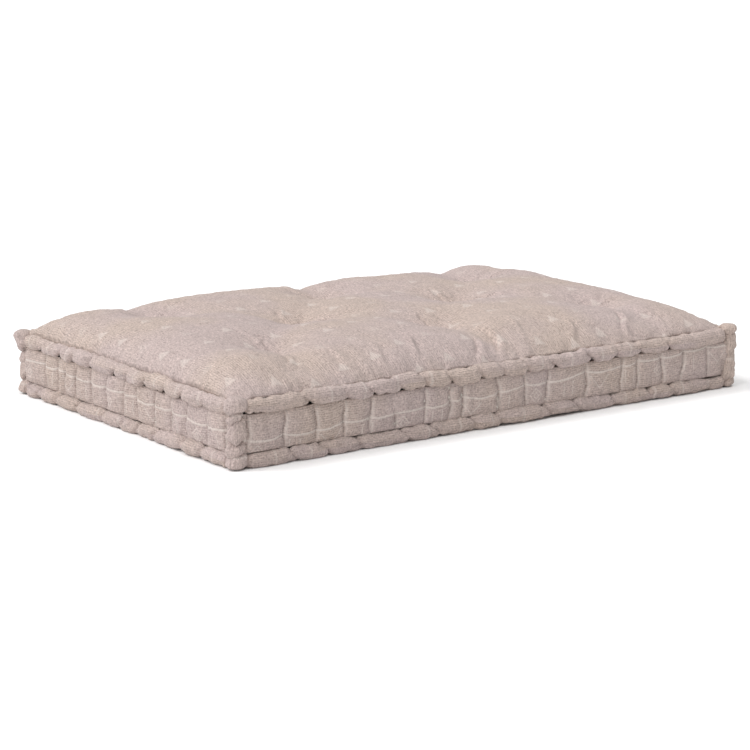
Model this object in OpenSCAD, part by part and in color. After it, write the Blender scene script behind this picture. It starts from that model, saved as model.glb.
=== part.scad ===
// Tufted floor mattress with rolled edges.
// A cotton cover of two panels and four borders holds a stack of fibre batts.
// Its edges are turned over ropes of fibre and sewn down, and twine tufts tie
// the two panels together through the filling.
// The origin is on the floor under the middle, +X along the length, +Z up.

/* [Body] */
// Length over the rolled edges
length = 1200; // [960:10:2000]
// Width over the rolled edges
width = 800; // [640:10:1600]
// Height from the floor to the top of the upper rolls
edge_height = 122; // [96:1:200]
// Rise of the top panel's middle above its rim
crown_rise = 63; // [20:1:80]
// Distance from the rim over which the top panel rises
shoulder = 110; // [80:5:240]

/* [Rolled edges] */
// Outer diameter of each roll
roll_diameter = 28; // [20:1:34]
// Extra thickness of each corner roll over the other rolls
corner_extra = 8; // [6:1:12]
// Height of the corner rolls above the upper rolls
corner_rise = 6; // [0:1:14]

/* [Borders] */
// Distance of a border's edges behind the outside of the rolls
border_inset = 10; // [6:1:12]
// Outward bulge of a border at half its height
border_bulge = 5; // [2:0.5:6]

/* [Cloth and twine] */
// Thickness of the cotton cloth
cloth = 1.2; // [0.8:0.1:1.6]
// Diameter of the tufting twine
tuft_twine = 2.2; // [1.4:0.1:3]
// Diameter of the twine that sews the rolls
roll_twine = 1.6; // [1:0.1:2.4]
// Clearance between a twine and its hole, on the radius
twine_fit = 0.2; // [0.1:0.05:0.5]
// Gap between neighbouring soft pieces
gap = 0.4; // [0.2:0.1:1]

/* [Tufts] */
// Spacing of the tufts along the length
tuft_pitch_x = 390; // [300:10:450]
// Distance from the middle row of tufts to each outer row
tuft_pitch_y = 200; // [140:10:260]
// Depth of each dimple in the top panel
dimple_depth = 30; // [10:1:40]
// Radius at which a dimple has mostly levelled out
dimple_radius = 70; // [50:5:120]
// Height of each dish in the bottom panel
dish_height = 10; // [8:0.5:11]
// Radius of each dish in the bottom panel
dish_radius = 40; // [25:1:60]
// Distance between the two strands of one tuft
strand_spacing = 9; // [7:0.5:16]
// Diameter of the knot under each tuft
knot_diameter = 6.4; // [4:0.2:7]

/* [Hidden] */

// Colours of the materials
cloth_colour = [0.66, 0.59, 0.56];
fibre_colour = [0.93, 0.91, 0.86];
twine_colour = [0.80, 0.75, 0.68];

// Numbers of straight cells between two tuft lines in the curved surfaces
cells_x = 5;
cells_y = 5;

roll_radius = roll_diameter / 2;
corner_diameter = roll_diameter + corner_extra;
corner_radius = corner_diameter / 2;
// Air between a roll's cloth and the rope inside it
rope_air = gap / 2;
corner_height = edge_height + corner_rise;
panel_inset = roll_diameter + gap;
panel_x = length / 2 - panel_inset;
panel_y = width / 2 - panel_inset;
top_roll_z = edge_height - roll_radius;
// The top panel's rim meets the upper rolls where they are widest
rim_z = top_roll_z + cloth / 2;
// Levels between the zones of batts
lower_z = cloth + gap;
middle_z = roll_diameter;
upper_z = edge_height - roll_diameter;
// Centre lines of the rolls
roll_line_x = length / 2 - roll_radius;
roll_line_y = width / 2 - roll_radius;
corner_line_x = length / 2 - corner_radius;
corner_line_y = width / 2 - corner_radius;
roll_length_x = length - 2 * (corner_diameter + gap);
roll_length_y = width - 2 * (corner_diameter + gap);
// Sphere that shapes a dish of the bottom panel
dish_sphere = (pow(dish_radius, 2) + pow(dish_height, 2)) / (2 * dish_height);
// Slack in the twine where it crosses a dimple
twine_slack = 1.2;
// The bottom panel ends where the lower rolls curve down to meet it
floor_reach = sqrt(pow(roll_radius, 2) - pow(roll_radius - cloth - gap, 2));
bottom_inset = roll_radius + floor_reach + gap;
// A border's edges stop just short of the rolls above and below them
border_reach = sqrt(pow(roll_radius, 2) - pow(roll_radius - border_inset - cloth, 2));
border_z = roll_radius + border_reach + gap;
border_height = top_roll_z - border_reach - gap - border_z;
// Circle that shapes a border's bulge
border_circle = (pow(border_height / 2, 2) + pow(border_bulge, 2)) / (2 * border_bulge);
batt_inset = border_inset + cloth + gap;
// Batts below the borders, and between the levels of the rolls
lower_count = 2;
middle_count = 4;

// Three tufts in each outer row, and two in the middle row between them
tufts = [for (side = [-1, 1]) for (i = [-1:1]) [i * tuft_pitch_x, side * tuft_pitch_y],
    for (side = [-1, 1]) [side * tuft_pitch_x / 2, 0]];

$fn = 48;

// Share of the crown's rise at a distance from the rim
function shoulder_share(d) = 1 - pow(1 - min(max(d, 0) / shoulder, 1), 2);

// Depth that the tufts pull the top panel down by at a point
function dimple(x, y) = dimple_depth * max([for (t = tufts)
    exp(-(pow(x - t[0], 2) + pow(y - t[1], 2)) / pow(dimple_radius, 2))]);

// Height of the top panel's upper face
function top_z(x, y) = rim_z
    + crown_rise * shoulder_share(panel_x - abs(x)) * shoulder_share(panel_y - abs(y))
    - dimple(x, y) * shoulder_share(panel_x - abs(x)) * shoulder_share(panel_y - abs(y));

// Evenly spaced values between each two marks of a list
function stations(marks, cells) = [
    for (i = [0:len(marks) - 2]) for (k = [0:cells - 1])
        marks[i] + (marks[i + 1] - marks[i]) * k / cells,
    marks[len(marks) - 1]];

xs = stations([for (m = [-2:2]) m * tuft_pitch_x / 2], cells_x);
ys = stations([-tuft_pitch_y, 0, tuft_pitch_y], cells_y);
grid_x = concat(stations([-panel_x, xs[0]], cells_x),
    [for (i = [1:len(xs) - 1]) xs[i]],
    [for (s = stations([xs[len(xs) - 1], panel_x], cells_x)) if (s > xs[len(xs) - 1]) s]);
grid_y = concat(stations([-panel_y, ys[0]], cells_y),
    [for (i = [1:len(ys) - 1]) ys[i]],
    [for (s = stations([ys[len(ys) - 1], panel_y], cells_y)) if (s > ys[len(ys) - 1]) s]);

// Solid between two height functions over the panel's grid
module between(low, high) {
    nx = len(grid_x);
    ny = len(grid_y);
    points = [for (h = [high, low]) for (x = grid_x) for (y = grid_y) [x, y, h(x, y)]];
    function at(k, i, j) = (k * nx + i) * ny + j;
    rim = concat([for (i = [0:nx - 1]) [i, 0]], [for (j = [1:ny - 1]) [nx - 1, j]],
        [for (i = [nx - 2:-1:0]) [i, ny - 1]], [for (j = [ny - 2:-1:1]) [0, j]]);
    faces = concat(
        [for (i = [0:nx - 2]) for (j = [0:ny - 2]) for (f = [
            [at(0, i, j), at(0, i + 1, j + 1), at(0, i + 1, j)],
            [at(0, i, j), at(0, i, j + 1), at(0, i + 1, j + 1)],
            [at(1, i, j), at(1, i + 1, j), at(1, i + 1, j + 1)],
            [at(1, i, j), at(1, i + 1, j + 1), at(1, i, j + 1)]]) f],
        [for (m = [0:len(rim) - 1]) let (a = rim[m], b = rim[(m + 1) % len(rim)])
            [at(0, a[0], a[1]), at(0, b[0], b[1]), at(1, b[0], b[1]), at(1, a[0], a[1])]]);
    polyhedron(points, faces);
}

// Two holes for the strands of every tuft, over a range of heights
module strand_holes(z0, z1) {
    for (t = tufts) for (side = [-1, 1])
        translate([t[0] + side * strand_spacing / 2, t[1], z0])
            cylinder(h = z1 - z0, r = tuft_twine / 2 + twine_fit, $fn = 24);
}

// Room for the corner rolls
module corner_cuts() {
    for (sx = [-1, 1]) for (sy = [-1, 1]) on_corner(sx, sy)
        translate([0, 0, -1]) cylinder(h = corner_height + 2, r = corner_radius + gap);
}

module top_panel() {
    color(cloth_colour) difference() {
        between(function(x, y) top_z(x, y) - cloth, function(x, y) top_z(x, y));
        strand_holes(rim_z, rim_z + crown_rise);
        corner_cuts();
    }
}

// Ball that hollows a dish, enlarged by a margin
module dish_ball(margin) {
    translate([0, 0, dish_height - dish_sphere]) sphere(r = dish_sphere + margin, $fn = 96);
}

module bottom_panel() {
    color(cloth_colour) difference() {
        union() {
            translate([bottom_inset - length / 2, bottom_inset - width / 2, 0])
                cube([length - 2 * bottom_inset, width - 2 * bottom_inset, cloth]);
            for (t = tufts) translate([t[0], t[1], 0]) intersection() {
                dish_ball(cloth);
                translate([-2 * dish_radius, -2 * dish_radius, 0])
                    cube([4 * dish_radius, 4 * dish_radius, dish_height + 2 * cloth]);
            }
        }
        for (t = tufts) translate([t[0], t[1], 0]) dish_ball(0);
        strand_holes(0, dish_height + 2 * cloth);
        corner_cuts();
    }
}

// Bulged strip of cloth along +X, outer face towards -Y, for a side of the given width
module border(side_length, side_width) {
    color(cloth_colour)
        translate([-side_length / 2, -side_width / 2 + border_inset - border_bulge + border_circle,
            border_z + border_height / 2])
        rotate([90, 0, 90]) linear_extrude(side_length) intersection() {
            difference() {
                circle(r = border_circle, $fn = 180);
                circle(r = border_circle - cloth, $fn = 180);
            }
            translate([-border_circle - 1, -border_height / 2])
                square([border_circle / 2, border_height]);
        }
}

// Cloth sleeve of a straight roll, centred, along X
module sleeve(l) {
    color(cloth_colour) rotate([0, 90, 0]) difference() {
        cylinder(h = l, r = roll_radius, center = true);
        cylinder(h = l + 2, r = roll_radius - cloth, center = true);
    }
}

// Rope of fibre inside a straight roll, centred, along X
module rope(l) {
    color(fibre_colour) rotate([0, 90, 0])
        cylinder(h = l, r = roll_radius - cloth - rope_air, center = true);
}

// Half outline of an upright capsule, for turning round Z
module capsule_outline(r, h) {
    intersection() {
        union() {
            translate([0, r]) circle(r = r);
            translate([0, h - r]) circle(r = r);
            translate([-r, r]) square([2 * r, h - 2 * r]);
        }
        square([r, h]);
    }
}

// Upright capsule with its skin moved in by a depth
module corner_capsule(depth) {
    translate([0, 0, depth]) rotate_extrude()
        capsule_outline(corner_radius - depth, corner_height - 2 * depth);
}

module corner_sleeve() {
    color(cloth_colour) difference() {
        corner_capsule(0);
        corner_capsule(cloth);
    }
}

module corner_rope() {
    color(fibre_colour) corner_capsule(cloth + rope_air);
}

// Places a piece made along X on the front, back, left or right side, at a height
module on_front(z) { translate([0, -roll_line_y, z]) children(); }
module on_back(z) { translate([0, roll_line_y, z]) children(); }
module on_left(z) { translate([-roll_line_x, 0, z]) rotate(90) children(); }
module on_right(z) { translate([roll_line_x, 0, z]) rotate(90) children(); }
module on_corner(sx, sy) { translate([sx * corner_line_x, sy * corner_line_y, 0]) children(); }

// Rectangle of one batt, with its corners cut clear of the corner rolls
module batt_outline(inset) {
    difference() {
        square([length - 2 * inset, width - 2 * inset], center = true);
        for (sx = [-1, 1]) for (sy = [-1, 1]) on_corner(sx, sy) circle(r = corner_radius + gap);
    }
}

// One of a stack of equal batts between two levels, counted from the lowest
module batt(number, count, inset, z0, z1) {
    pitch = (z1 - z0) / count;
    translate([0, 0, z0 + (number - 1) * pitch])
        linear_extrude(pitch - gap) batt_outline(inset);
}

module lower_batt(number) {
    color(fibre_colour) difference() {
        batt(number, lower_count, panel_inset, lower_z, middle_z);
        for (t = tufts) translate([t[0], t[1], 0]) dish_ball(cloth + gap);
        strand_holes(0, middle_z);
    }
}

module middle_batt(number) {
    color(fibre_colour) difference() {
        batt(number, middle_count, batt_inset, middle_z, upper_z);
        strand_holes(middle_z - 1, upper_z + 1);
    }
}

module crown_batt() {
    color(fibre_colour) difference() {
        between(function(x, y) upper_z, function(x, y) top_z(x, y) - cloth - gap);
        strand_holes(upper_z - 1, rim_z + crown_rise);
        corner_cuts();
    }
}

tuft_low_z = dish_height - knot_diameter / 2 - gap;

// Closed loop of twine: two strands joined by a bar at each end
module tuft_loop(z0, z1) {
    r = tuft_twine / 2;
    for (side = [-1, 1]) translate([side * strand_spacing / 2, 0, 0]) {
        translate([0, 0, z0]) cylinder(h = z1 - z0, r = r, $fn = 24);
        for (z = [z0, z1]) translate([0, 0, z]) sphere(r = r, $fn = 24);
    }
    for (z = [z0, z1]) translate([0, 0, z]) rotate([0, 90, 0])
        cylinder(h = strand_spacing, r = r, center = true, $fn = 24);
}

module tuft_twines() {
    color(twine_colour) for (t = tufts)
        translate([t[0], t[1], 0])
            tuft_loop(tuft_low_z, top_z(t[0], t[1]) + tuft_twine / 2 + twine_slack);
}

// Knot of three turns round the bar under the bottom panel, which closes each loop
module tuft_knots() {
    bore = tuft_twine / 2 + twine_fit / 2;
    turn = (knot_diameter / 2 - bore) / 2;
    color(twine_colour) for (t = tufts) translate([t[0], t[1], tuft_low_z]) rotate([0, 90, 0])
        rotate_extrude() for (k = [-1:1])
            translate([bore + turn, k * 1.6 * turn]) circle(r = turn, $fn = 24);
}

// Straight run of sewing twine, centred, along X
module twine_run(l) {
    color(twine_colour) rotate([0, 90, 0])
        cylinder(h = l, r = roll_twine / 2, center = true, $fn = 24);
}

// Distance between the centres of a roll and the twine that lies on it
twine_reach = roll_radius + roll_twine / 2 + gap / 4;
groove_in = roll_radius - gap;
groove_up = sqrt(pow(twine_reach, 2) - pow(groove_in, 2));
floor_z = cloth + gap / 2 + roll_twine / 2;
floor_in = sqrt(pow(twine_reach, 2) - pow(roll_radius - floor_z, 2));

// The four runs of twine behind a set of rolls, at an inward distance from their centre lines
module twine_ring(inward, z) {
    for (side = [-1, 1]) {
        translate([0, side * (roll_line_y - inward), z]) twine_run(roll_length_x - corner_diameter);
        translate([side * (roll_line_x - inward), 0, z]) rotate(90)
            twine_run(roll_length_y - corner_diameter);
    }
}

// One upright run of twine beside each corner roll, in the groove in front of the border
module corner_roll_twines() {
    lean = 40;
    reach = corner_radius + roll_twine / 2 + gap / 4;
    for (sx = [-1, 1]) for (sy = [-1, 1]) on_corner(sx, sy)
        translate([-sx * reach * cos(lean), sy * reach * sin(lean),
            border_z + border_height / 2])
        rotate([0, 90, 0]) twine_run(border_height - 2 * gap);
}

top_panel();
bottom_panel();
border(roll_length_x, width);  // border_front
rotate(180) border(roll_length_x, width);  // border_back
rotate(-90) border(roll_length_y, length);  // border_left
rotate(90) border(roll_length_y, length);  // border_right
on_front(top_roll_z) sleeve(roll_length_x);  // top_roll_front
on_back(top_roll_z) sleeve(roll_length_x);  // top_roll_back
on_left(top_roll_z) sleeve(roll_length_y);  // top_roll_left
on_right(top_roll_z) sleeve(roll_length_y);  // top_roll_right
on_front(roll_radius) sleeve(roll_length_x);  // bottom_roll_front
on_back(roll_radius) sleeve(roll_length_x);  // bottom_roll_back
on_left(roll_radius) sleeve(roll_length_y);  // bottom_roll_left
on_right(roll_radius) sleeve(roll_length_y);  // bottom_roll_right
on_corner(-1, -1) corner_sleeve();  // corner_roll_front_left
on_corner(1, -1) corner_sleeve();  // corner_roll_front_right
on_corner(-1, 1) corner_sleeve();  // corner_roll_back_left
on_corner(1, 1) corner_sleeve();  // corner_roll_back_right
on_front(top_roll_z) rope(roll_length_x);  // top_roll_rope_front
on_back(top_roll_z) rope(roll_length_x);  // top_roll_rope_back
on_left(top_roll_z) rope(roll_length_y);  // top_roll_rope_left
on_right(top_roll_z) rope(roll_length_y);  // top_roll_rope_right
on_front(roll_radius) rope(roll_length_x);  // bottom_roll_rope_front
on_back(roll_radius) rope(roll_length_x);  // bottom_roll_rope_back
on_left(roll_radius) rope(roll_length_y);  // bottom_roll_rope_left
on_right(roll_radius) rope(roll_length_y);  // bottom_roll_rope_right
on_corner(-1, -1) corner_rope();  // corner_rope_front_left
on_corner(1, -1) corner_rope();  // corner_rope_front_right
on_corner(-1, 1) corner_rope();  // corner_rope_back_left
on_corner(1, 1) corner_rope();  // corner_rope_back_right
lower_batt(1);  // lower_batt_1
lower_batt(2);  // lower_batt_2
middle_batt(1);  // middle_batt_1
middle_batt(2);  // middle_batt_2
middle_batt(3);  // middle_batt_3
middle_batt(4);  // middle_batt_4
crown_batt();
tuft_twines();
tuft_knots();
twine_ring(groove_in, top_roll_z + groove_up);  // top_roll_twines
twine_ring(floor_in, floor_z);  // bottom_roll_twines
corner_roll_twines();
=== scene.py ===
import math
from functools import partialmethod

import bmesh
import bpy
import numpy as np
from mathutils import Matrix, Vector


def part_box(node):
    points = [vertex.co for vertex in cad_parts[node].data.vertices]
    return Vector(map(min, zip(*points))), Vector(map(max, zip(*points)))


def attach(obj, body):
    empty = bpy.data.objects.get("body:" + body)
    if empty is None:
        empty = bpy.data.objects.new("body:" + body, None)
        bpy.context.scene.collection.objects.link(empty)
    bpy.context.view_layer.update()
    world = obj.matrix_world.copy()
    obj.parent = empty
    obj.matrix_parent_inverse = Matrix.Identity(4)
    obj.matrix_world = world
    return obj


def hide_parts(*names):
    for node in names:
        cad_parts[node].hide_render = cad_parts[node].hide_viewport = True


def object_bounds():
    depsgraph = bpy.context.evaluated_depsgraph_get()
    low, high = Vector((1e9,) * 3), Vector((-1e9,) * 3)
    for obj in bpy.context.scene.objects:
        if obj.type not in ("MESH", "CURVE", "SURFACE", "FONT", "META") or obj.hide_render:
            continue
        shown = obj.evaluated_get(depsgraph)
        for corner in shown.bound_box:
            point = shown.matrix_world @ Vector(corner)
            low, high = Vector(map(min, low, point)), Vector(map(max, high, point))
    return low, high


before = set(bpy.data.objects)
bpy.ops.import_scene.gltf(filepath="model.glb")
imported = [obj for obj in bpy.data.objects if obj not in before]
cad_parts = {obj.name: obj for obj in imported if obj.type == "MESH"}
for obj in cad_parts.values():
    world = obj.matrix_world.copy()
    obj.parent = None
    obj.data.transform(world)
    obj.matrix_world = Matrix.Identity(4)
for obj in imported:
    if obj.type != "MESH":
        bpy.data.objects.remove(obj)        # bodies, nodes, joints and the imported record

bl_info = {
    "name": "Rolled-edge floor mattress",
    "version": (1, 0, 0),
    "blender": (4, 5, 0),
    "location": "View3D > Sidebar > Mattress",
    "description": "Makes the cover, filling and stitching of a tufted floor mattress",
    "category": "Add Mesh",
}

# ---------------------------------------------------------------- sizes from the frame

CAD_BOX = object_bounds()
HALF_X, HALF_Y = CAD_BOX[1].x, CAD_BOX[1].y
BODY = "root"


def middle(node):
    """Middle of a CAD node's box."""
    low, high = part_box(node)
    return (low + high) / 2


def extent(node):
    """Size of a CAD node's box."""
    low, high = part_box(node)
    return high - low


def solid_middles(node, reach):
    """Middle of each separate solid of a CAD node, whose solids stand further apart than reach."""
    left = np.array([v.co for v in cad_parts[node].data.vertices])
    found = []
    while len(left):
        near = np.linalg.norm(left - left[0], axis=1) < reach
        found.append((left[near].min(0) + left[near].max(0)) / 2)
        left = left[~near]
    return found


ROLL_R = extent("top_roll_front").z / 2
TOP_ROLL_Z = middle("top_roll_front").z
LOW_ROLL_Z = middle("bottom_roll_front").z
ROLL_END_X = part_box("top_roll_front")[1].x
ROLL_END_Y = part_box("top_roll_left")[1].y
CORNER_R = extent("corner_roll_front_left").x / 2
CORNER_H = extent("corner_roll_front_left").z
# Thickness of the panels' cloth
CLOTH = 0.0012
CROWN_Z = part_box("top_panel")[1].z
BATT_TOP_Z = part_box("crown_batt")[0].z
BATT_X, BATT_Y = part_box("crown_batt")[1].x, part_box("crown_batt")[1].y
BORDER_LOW, BORDER_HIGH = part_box("border_front")[0].z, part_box("border_front")[1].z
BOTTOM_X, BOTTOM_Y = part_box("bottom_panel")[1].x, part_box("bottom_panel")[1].y
DISH_H = extent("bottom_panel").z - CLOTH
TUFTS = solid_middles("tuft_knots", 0.05)
TWINE_OVER_PIT = 0.0034
PIT_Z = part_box("tuft_twines")[1].z - TWINE_OVER_PIT
# The top panel is sewn to the upper rolls just inside their crest
SEAM_TURN = math.radians(82)
SEAM_R = ROLL_R - 2 * CLOTH
PANEL_X = HALF_X - ROLL_R - SEAM_R * math.cos(SEAM_TURN)
PANEL_Y = HALF_Y - ROLL_R - SEAM_R * math.cos(SEAM_TURN)
RIM_Z = TOP_ROLL_Z + SEAM_R * math.sin(SEAM_TURN)
# Height of the mounds before the filling swells them, and the levels that the panel stays between
MOUND_Z = CROWN_Z + 0.0088
PANEL_HIGH = CROWN_Z + 0.0145
PANEL_LOW = BATT_TOP_Z + 0.008

# Sides of the mattress: direction along it, direction outwards, distance of its face from the
# middle, and half the length of its rolls
SIDES = {
    "front": (Vector((1, 0, 0)), Vector((0, -1, 0)), HALF_Y, ROLL_END_X),
    "back": (Vector((1, 0, 0)), Vector((0, 1, 0)), HALF_Y, ROLL_END_X),
    "left": (Vector((0, 1, 0)), Vector((-1, 0, 0)), HALF_X, ROLL_END_Y),
    "right": (Vector((0, 1, 0)), Vector((1, 0, 0)), HALF_X, ROLL_END_Y),
}
CORNERS = {
    "front_left": (-1, -1),
    "front_right": (1, -1),
    "back_left": (-1, 1),
    "back_right": (1, 1),
}

# Spaces between the stitches of the edges that were sewn by hand, in millimetres
STITCH_SPACES = {
    "top_front": (125, 83, 55, 60, 57, 60, 69, 54, 54, 69, 92, 65, 65, 72, 155),
    "bottom_front": (98, 62, 78, 102, 69, 86, 64, 120, 74, 96, 97, 60, 95, 42),
    "top_left": (67, 79, 64, 66, 61, 56, 88, 70, 59, 78, 62),
    "bottom_left": (80, 62, 97, 70, 59, 66, 102, 78, 75, 54),
    "rib_front": (74, 64, 58, 57, 51, 68, 56, 30, 82, 62, 52, 95, 88, 40, 64, 54, 66, 41),
    "rib_left": (60, 68, 52, 60, 65, 48, 64, 58, 60, 40, 32, 50, 75),
}


# ---------------------------------------------------------------- settings


def distance_setting(name, description, default, low, high):
    """Setting for a distance in metres."""
    return bpy.props.FloatProperty(name=name, description=description, default=default,
                                   min=low, max=high, subtype="DISTANCE", unit="LENGTH")


def share_setting(name, description, default, high):
    """Setting for a share."""
    return bpy.props.FloatProperty(name=name, description=description, default=default,
                                   min=0.0, max=high, subtype="FACTOR")


def colour_setting(name, description, default):
    """Setting for a colour."""
    return bpy.props.FloatVectorProperty(name=name, description=description, default=default,
                                         size=3, min=0, max=1, subtype="COLOR")


class MattressShape(bpy.types.PropertyGroup):
    """Sizes of the soft shapes"""

    stitch_space: distance_setting(
        "Stitch spacing", "Usual space between the stitches of a roll", 0.068, 0.03, 0.15)
    stitch_depth: distance_setting(
        "Stitch depth", "Depth of the crease that a stitch pulls into a roll", 0.0076, 0.0, 0.012)
    rib_depth: distance_setting(
        "Rib depth", "How far a border puffs out between its creases", 0.0085, 0.0, 0.012)
    pleat_cloth: share_setting(
        "Pleat cloth", "Share by which a border is cut longer, for its pleats", 0.13, 0.4)
    spare_cloth: share_setting(
        "Spare cloth", "Share by which the top panel is cut larger than its frame", 0.05, 0.1)
    fill_pressure: bpy.props.FloatProperty(
        name="Filling pressure", description="Push of the filling against the top panel",
        default=1.0, min=0.0, max=20.0)
    cell: distance_setting(
        "Cloth cell", "Cell size of the top panel's mesh", 0.0047, 0.003, 0.02)


class MattressColours(bpy.types.PropertyGroup):
    """Colours of the cloth and twine"""

    rose: colour_setting("Rose taupe", "Cooler colour of the cotton", (0.428, 0.345, 0.326))
    sand: colour_setting("Sand taupe", "Warmer colour of the cotton", (0.437, 0.350, 0.308))
    pale: colour_setting("Pale yarn", "Colour of the woven figures", (0.620, 0.548, 0.505))
    twine: colour_setting("Twine", "Colour of the sewing and tufting twine", (0.54, 0.46, 0.40))
    fibre: colour_setting("Fibre", "Colour of the filling", (0.72, 0.69, 0.63))


def shape():
    """The mattress's shape settings."""
    return bpy.context.scene.mattress_shape


def colours():
    """The mattress's colour settings."""
    return bpy.context.scene.mattress_colours


# ---------------------------------------------------------------- fields and meshes


def drift(x, y, wavelength, seed, waves=16):
    """Smooth random field, mostly from -1 to 1, made of waves in random directions."""
    rng = np.random.default_rng(seed)
    total = np.zeros(np.broadcast(x, y).shape)
    for _ in range(waves):
        turn, phase = rng.uniform(0, math.tau, 2)
        k = math.tau / (wavelength * rng.uniform(0.7, 1.5))
        total += np.sin(k * (x * math.cos(turn) + y * math.sin(turn)) + phase)
    return total / math.sqrt(waves)


def ease(t):
    """Smooth step from 0 to 1."""
    t = np.clip(t, 0, 1)
    return t * t * (3 - 2 * t)


def grid_of(x_line, y_line):
    """The x and y of every place of a grid."""
    return np.meshgrid(x_line, y_line, indexing="ij")


def stations(length, spaces, seed):
    """Places of the stitches along an edge centred on 0, its two ends included."""
    if spaces is None:
        rng = np.random.default_rng(seed)
        count = max(2, round(length / shape().stitch_space))
        spaces = rng.uniform(0.75, 1.35, count)
    marks = np.concatenate([[0], np.cumsum(spaces)])
    return marks / marks[-1] * length - length / 2


def station_field(s, marks):
    """Distance to the nearest mark, place between marks from 0 to 1, the nearest mark's number, and
    the number of the space between marks."""
    right = np.clip(np.searchsorted(marks, s), 1, len(marks) - 1)
    low, high = marks[right - 1], marks[right]
    place = np.clip((s - low) / (high - low), 0, 1)
    nearest = np.where(place < 0.5, right - 1, right)
    return np.abs(s - marks[nearest]), place, nearest, right - 1


def placed(name, data):
    """A new object in the scene."""
    obj = bpy.data.objects.new(name, data)
    bpy.context.scene.collection.objects.link(obj)
    return obj


def smooth_shaded(mesh):
    """Sets every face of a mesh to smooth shading."""
    mesh.polygons.foreach_set("use_smooth", [True] * len(mesh.polygons))


def mesh_object(name, points, uvs, tube=False):
    """Object from a grid of points, with UVs in metres. A tube joins its last column to its first,
    and each of its ends is closed on a pole."""
    rows, columns = points.shape[:2]
    across = columns if tube else columns - 1
    i, j = grid_of(np.arange(rows - 1), np.arange(across))
    i, j = i.ravel(), j.ravel()
    j1 = (j + 1) % columns
    quads = np.stack([i * columns + j, (i + 1) * columns + j,
                      (i + 1) * columns + j1, i * columns + j1], axis=1)
    quad_uv = np.stack([uvs[i, j], uvs[i + 1, j], uvs[i + 1, j + 1], uvs[i, j + 1]], axis=1)
    vertices = points.reshape(-1, 3)
    faces = quads.tolist()
    face_uv = quad_uv.reshape(-1, 2)
    if tube:
        for row, order in ((0, 1), (rows - 1, -1)):
            pole = len(vertices)
            vertices = np.vstack([vertices, points[row].mean(0)])
            for c in range(columns):
                pair = [row * columns + c, row * columns + (c + 1) % columns][::order]
                faces.append([pole, *pair])
                mid = uvs[row, c] + (uvs[row, c + 1] - uvs[row, c]) / 2
                ends = [uvs[row, c], uvs[row, c + 1]][::order]
                face_uv = np.vstack([face_uv, mid, *ends])
    mesh = bpy.data.meshes.new(name)
    mesh.from_pydata(vertices.tolist(), [], faces)
    layer = mesh.uv_layers.new(name="Cloth")
    layer.data.foreach_set("uv", np.asarray(face_uv, np.float32).ravel())
    smooth_shaded(mesh)
    return placed(name, mesh)


def tidy_normals(obj, outwards=None):
    """Turns the faces outwards; an open sheet is turned so that it faces the given direction."""
    work = bmesh.new()
    work.from_mesh(obj.data)
    bmesh.ops.remove_doubles(work, verts=work.verts, dist=1e-6)
    bmesh.ops.recalc_face_normals(work, faces=work.faces)
    if outwards is not None:
        total = sum((f.normal * f.calc_area() for f in work.faces), Vector())
        if total.dot(outwards) < 0:
            bmesh.ops.reverse_faces(work, faces=work.faces)
    work.to_mesh(obj.data)
    work.free()


def bake_modifiers(obj):
    """Replaces the mesh by what its modifiers make, and removes them."""
    depsgraph = bpy.context.evaluated_depsgraph_get()
    made = bpy.data.meshes.new_from_object(obj.evaluated_get(depsgraph))
    made.name = obj.name
    obj.modifiers.clear()
    obj.data = made


def thicken(obj, depth):
    """Gives a sheet its thickness, behind its face."""
    solid = obj.modifiers.new("Thickness", "SOLIDIFY")
    solid.thickness = depth
    solid.offset = -1
    bake_modifiers(obj)


def keep(obj, finish, slot, *nodes):
    """Gives a piece its material and body, and hides the CAD nodes that it stands for; its slot is
    not used.
    """
    obj.data.materials.clear()
    obj.data.materials.append(finish_of(finish))
    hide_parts(*nodes)
    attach(obj, BODY)


# ---------------------------------------------------------------- materials


class Web:
    """Adds nodes to a tree, and joins or sets their inputs in the same call."""

    def __init__(self, tree):
        self.tree = tree

    def add(self, kind, inputs=None, **settings):
        """A new node, whose inputs are joined to sockets or set to values."""
        node = self.tree.nodes.new(kind)
        for key, value in settings.items():
            setattr(node, key, value)
        for key, value in (inputs or {}).items():
            self.feed(node.inputs[key], value)
        return node

    def feed(self, socket, value):
        """Joins or sets one input."""
        if isinstance(value, bpy.types.NodeSocket):
            self.tree.links.new(value, socket)
        else:
            socket.default_value = value

    def maths(self, operation, *values):
        """The result of a Math node."""
        return self.add("ShaderNodeMath", dict(enumerate(values)), operation=operation).outputs[0]

    plus = partialmethod(maths, "ADD")
    minus = partialmethod(maths, "SUBTRACT")
    times = partialmethod(maths, "MULTIPLY")
    times_plus = partialmethod(maths, "MULTIPLY_ADD")
    larger = partialmethod(maths, "MAXIMUM")
    size = partialmethod(maths, "ABSOLUTE")
    sine = partialmethod(maths, "SINE")

    def mix(self, share, a, b, blend="MIX"):
        """Colour a, or b where share is 1."""
        inputs = {0: share, 6: a, 7: b}
        return self.add("ShaderNodeMix", inputs, data_type="RGBA", blend_type=blend).outputs[2]

    def noise(self, vector, scale, detail=2.0, roughness=0.5):
        """Noise from 0 to 1."""
        node = self.add("ShaderNodeTexNoise", {"Vector": vector, "Scale": scale,
                                               "Detail": detail, "Roughness": roughness})
        return node.outputs["Fac"]

    def vector(self, *parts):
        """A vector of three values."""
        return self.add("ShaderNodeCombineXYZ", dict(enumerate(parts))).outputs[0]

    def scaled(self, vector, factors):
        """A vector stretched along its axes."""
        return self.add("ShaderNodeMapping", {"Vector": vector, "Scale": factors}).outputs[0]

    def span(self, value, low, high, to_low=0.0, to_high=1.0):
        """A value moved from one range to another, and held within it."""
        node = self.add("ShaderNodeMapRange", {"Value": value, "From Min": low, "From Max": high,
                                               "To Min": to_low, "To Max": to_high})
        return node.outputs[0]


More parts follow.
